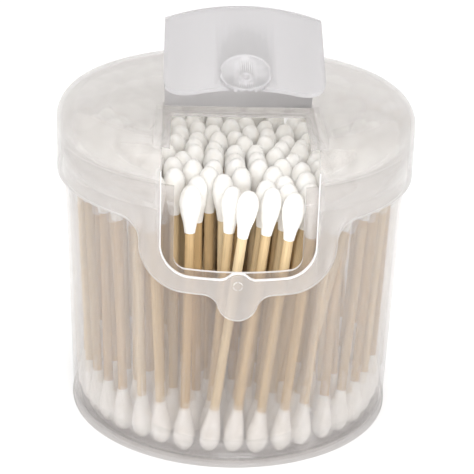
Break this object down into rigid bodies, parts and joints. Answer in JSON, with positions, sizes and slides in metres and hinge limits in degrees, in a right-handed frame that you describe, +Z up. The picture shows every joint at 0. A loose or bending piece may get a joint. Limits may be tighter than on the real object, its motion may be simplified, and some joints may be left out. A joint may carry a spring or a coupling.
{
  "type": "cotton swab tub",
  "caption": "Round frosted tub of wooden-stick cotton swabs, with a push-on lid whose hinged flap opens a dispensing window.",
  "frame": {"origin": "centre of the tub's foot, at the surface it stands on", "axes": "+Z up along the tub's axis, -Y towards the dispensing window and flap"},
  "size_m": [0.0942, 0.106, 0.1182],
  "materials": {
    "tub_plastic": "frosted translucent polypropylene",
    "lid_plastic": "frosted translucent polypropylene, milkier than the tub",
    "stick_wood": "plain birch, unvarnished",
    "bud_cotton": "wound cotton"
  },
  "bodies": {
    "tub": {"tub": "tub_plastic", "row_01_lower_buds": "bud_cotton", "row_01_sticks": "stick_wood", "row_01_upper_buds": "bud_cotton", "row_02_lower_buds": "bud_cotton", "row_02_sticks": "stick_wood", "row_02_upper_buds": "bud_cotton", "row_03_lower_buds": "bud_cotton", "row_03_sticks": "stick_wood", "row_03_upper_buds": "bud_cotton", "row_04_lower_buds": "bud_cotton", "row_04_sticks": "stick_wood", "row_04_upper_buds": "bud_cotton", "row_05_lower_buds": "bud_cotton", "row_05_sticks": "stick_wood", "row_05_upper_buds": "bud_cotton", "row_06_lower_buds": "bud_cotton", "row_06_sticks": "stick_wood", "row_06_upper_buds": "bud_cotton", "row_07_lower_buds": "bud_cotton", "row_07_sticks": "stick_wood", "row_07_upper_buds": "bud_cotton", "row_08_lower_buds": "bud_cotton", "row_08_sticks": "stick_wood", "row_08_upper_buds": "bud_cotton", "row_09_lower_buds": "bud_cotton", "row_09_sticks": "stick_wood", "row_09_upper_buds": "bud_cotton", "row_10_lower_buds": "bud_cotton", "row_10_sticks": "stick_wood", "row_10_upper_buds": "bud_cotton", "row_11_lower_buds": "bud_cotton", "row_11_sticks": "stick_wood", "row_11_upper_buds": "bud_cotton", "row_12_lower_buds": "bud_cotton", "row_12_sticks": "stick_wood", "row_12_upper_buds": "bud_cotton", "row_13_lower_buds": "bud_cotton", "row_13_sticks": "stick_wood", "row_13_upper_buds": "bud_cotton", "row_14_lower_buds": "bud_cotton", "row_14_sticks": "stick_wood", "row_14_upper_buds": "bud_cotton", "row_15_lower_buds": "bud_cotton", "row_15_sticks": "stick_wood", "row_15_upper_buds": "bud_cotton"},
    "lid": {"lid": "lid_plastic"},
    "flap": {"flap": "lid_plastic"}
  },
  "joints": [
    {"name": "lid_lift", "type": "slide", "parent": "tub", "child": "lid", "axis": [0, 0, 1], "range_m": [0, 0.06]},
    {"name": "flap_hinge", "type": "hinge", "parent": "lid", "child": "flap", "pos_m": [0, -0.0114, 0.088], "axis": [-1, 0, 0], "range_deg": [-65.5, 74.5]}
  ]
}
